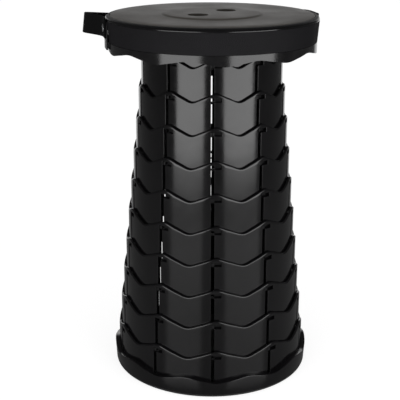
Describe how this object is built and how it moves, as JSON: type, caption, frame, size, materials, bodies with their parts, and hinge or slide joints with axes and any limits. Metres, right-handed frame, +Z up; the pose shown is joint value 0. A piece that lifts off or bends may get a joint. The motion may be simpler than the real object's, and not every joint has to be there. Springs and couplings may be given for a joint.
{
  "type": "collapsible telescopic stool",
  "caption": "Round stool of nested, slotted plastic rings that pull up to sitting height and fold flat, with finger holes in the seat and a carry strap.",
  "frame": {"origin": "on the floor, on the axis of the rings, under the middle foot", "axes": "+Z up along the rings' axis, -Y to the front, +X to the right as seen from the front"},
  "size_m": [0.2854, 0.2642, 0.4452],
  "materials": {
    "gloss_black": "glossy moulded plastic",
    "matte_black": "fine matte grain",
    "seat_top": "satin with a fine grain",
    "webbing": "woven webbing",
    "foot_rubber": "matte rubber",
    "steel": "plated steel"
  },
  "bodies": {
    "base": {"base_shell": "gloss_black", "base_plate": "matte_black", "ring_10": "gloss_black", "foot_centre": "foot_rubber", "foot_1": "foot_rubber", "foot_2": "foot_rubber", "foot_3": "foot_rubber", "foot_4": "foot_rubber", "foot_5": "foot_rubber", "base_screw_1": "steel", "base_screw_2": "steel", "base_screw_3": "steel", "base_screw_4": "steel", "base_screw_5": "steel"},
    "ring_09_body": {"ring_09": "gloss_black"},
    "ring_08_body": {"ring_08": "gloss_black"},
    "ring_07_body": {"ring_07": "gloss_black"},
    "ring_06_body": {"ring_06": "gloss_black"},
    "ring_05_body": {"ring_05": "gloss_black"},
    "ring_04_body": {"ring_04": "gloss_black"},
    "ring_03_body": {"ring_03": "gloss_black"},
    "ring_02_body": {"ring_02": "gloss_black"},
    "ring_01_body": {"ring_01": "gloss_black"},
    "seat": {"seat_shell": "gloss_black", "seat_cover": "seat_top", "skirt_band_front": "matte_black", "skirt_band_rear": "matte_black", "seat_neck": "gloss_black", "neck_screw_1": "steel", "neck_screw_2": "steel", "neck_screw_3": "steel", "neck_screw_4": "steel", "neck_screw_5": "steel", "strap_clip_left": "gloss_black", "strap_rivet_left": "steel", "strap_clip_right": "gloss_black", "strap_rivet_right": "steel"},
    "strap": {"strap_webbing": "webbing", "strap_slider": "gloss_black"}
  },
  "joints": [
    {"name": "ring_09_slide", "type": "slide", "parent": "base", "child": "ring_09_body", "axis": [0, 0, 1], "range_m": [-0.0384, 0]},
    {"name": "ring_08_slide", "type": "slide", "parent": "ring_09_body", "child": "ring_08_body", "axis": [0, 0, 1], "range_m": [-0.0384, 0]},
    {"name": "ring_07_slide", "type": "slide", "parent": "ring_08_body", "child": "ring_07_body", "axis": [0, 0, 1], "range_m": [-0.0384, 0]},
    {"name": "ring_06_slide", "type": "slide", "parent": "ring_07_body", "child": "ring_06_body", "axis": [0, 0, 1], "range_m": [-0.0384, 0]},
    {"name": "ring_05_slide", "type": "slide", "parent": "ring_06_body", "child": "ring_05_body", "axis": [0, 0, 1], "range_m": [-0.0384, 0]},
    {"name": "ring_04_slide", "type": "slide", "parent": "ring_05_body", "child": "ring_04_body", "axis": [0, 0, 1], "range_m": [-0.0384, 0]},
    {"name": "ring_03_slide", "type": "slide", "parent": "ring_04_body", "child": "ring_03_body", "axis": [0, 0, 1], "range_m": [-0.0384, 0]},
    {"name": "ring_02_slide", "type": "slide", "parent": "ring_03_body", "child": "ring_02_body", "axis": [0, 0, 1], "range_m": [-0.0384, 0]},
    {"name": "ring_01_slide", "type": "slide", "parent": "ring_02_body", "child": "ring_01_body", "axis": [0, 0, 1], "range_m": [-0.0384, 0]},
    {"name": "seat_slide", "type": "slide", "parent": "ring_01_body", "child": "seat", "axis": [0, 0, 1], "range_m": [-0.0324, 0]},
    {"name": "strap_swing", "type": "hinge", "parent": "seat", "child": "strap", "pos_m": [0, 0, 0.4305], "axis": [0.9789, 0.2045, 0], "range_deg": [0, 95]}
  ]
}
